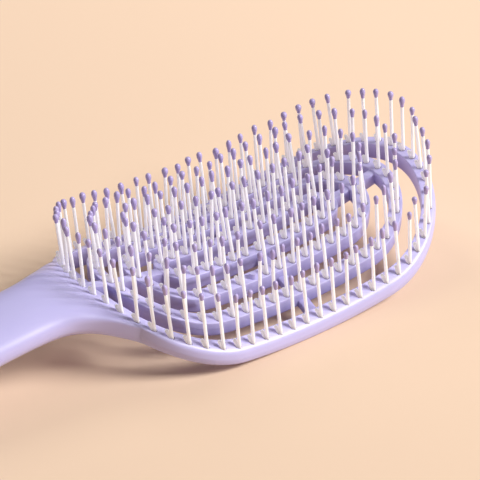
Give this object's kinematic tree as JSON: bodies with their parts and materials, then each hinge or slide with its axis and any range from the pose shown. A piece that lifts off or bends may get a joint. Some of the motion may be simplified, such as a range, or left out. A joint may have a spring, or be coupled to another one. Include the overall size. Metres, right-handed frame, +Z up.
{
  "type": "vent_brush",
  "caption": "Lavender vent brush with an open oval head of nested rings, a slightly arched handle and rows of ball-tipped filament tufts.",
  "frame": {"origin": "centre of the footprint, on the surface that the brush lies on", "axes": "+X runs along the brush from the butt of the handle to the tip of the head, +Z points up out of the head along the tufts, +Y completes a right-handed frame"},
  "size_m": [0.2439, 0.0772, 0.0452],
  "materials": {
    "moulding": "smooth moulded plastic with a satin gloss",
    "filament": "cream nylon filament with lavender dipped ball tips, on a backing slice of the lavender moulding"
  },
  "bodies": {
    "root": {"handle_and_rail": "moulding", "tufts_ring_1_far": "filament", "tufts_ring_1_near": "filament", "tufts_ring_1_neck_1": "filament", "tufts_ring_1_neck_2": "filament", "tufts_ring_1_neck_3": "filament", "tufts_ring_1_neck_4": "filament", "tufts_ring_1_neck_5": "filament", "tufts_ring_1_neck_6": "filament", "tufts_ring_1_neck_7": "filament", "tufts_ring_1_tip_1": "filament", "tufts_ring_1_tip_2": "filament", "tufts_ring_1_tip_3": "filament", "tufts_ring_1_tip_4": "filament", "tufts_ring_1_tip_5": "filament", "tufts_ring_1_tip_6": "filament", "tufts_ring_1_tip_7": "filament", "tufts_ring_2_far": "filament", "tufts_ring_2_near": "filament", "tufts_ring_2_neck_1": "filament", "tufts_ring_2_neck_2": "filament", "tufts_ring_2_neck_3": "filament", "tufts_ring_2_neck_4": "filament", "tufts_ring_2_neck_5": "filament", "tufts_ring_2_tip_1": "filament", "tufts_ring_2_tip_2": "filament", "tufts_ring_2_tip_3": "filament", "tufts_ring_2_tip_4": "filament", "tufts_ring_2_tip_5": "filament", "tufts_ring_3_far": "filament", "tufts_ring_3_near": "filament", "tufts_ring_3_neck_1": "filament", "tufts_ring_3_neck_2": "filament", "tufts_ring_3_neck_3": "filament", "tufts_ring_3_tip_1": "filament", "tufts_ring_3_tip_2": "filament", "tufts_ring_3_tip_3": "filament", "tufts_ring_4_far": "filament", "tufts_ring_4_near": "filament", "tufts_ring_4_neck_1": "filament", "tufts_ring_4_tip_1": "filament", "vent_ring_2": "moulding", "vent_ring_3": "moulding", "vent_ring_4": "moulding"}
  },
  "joints": []
}
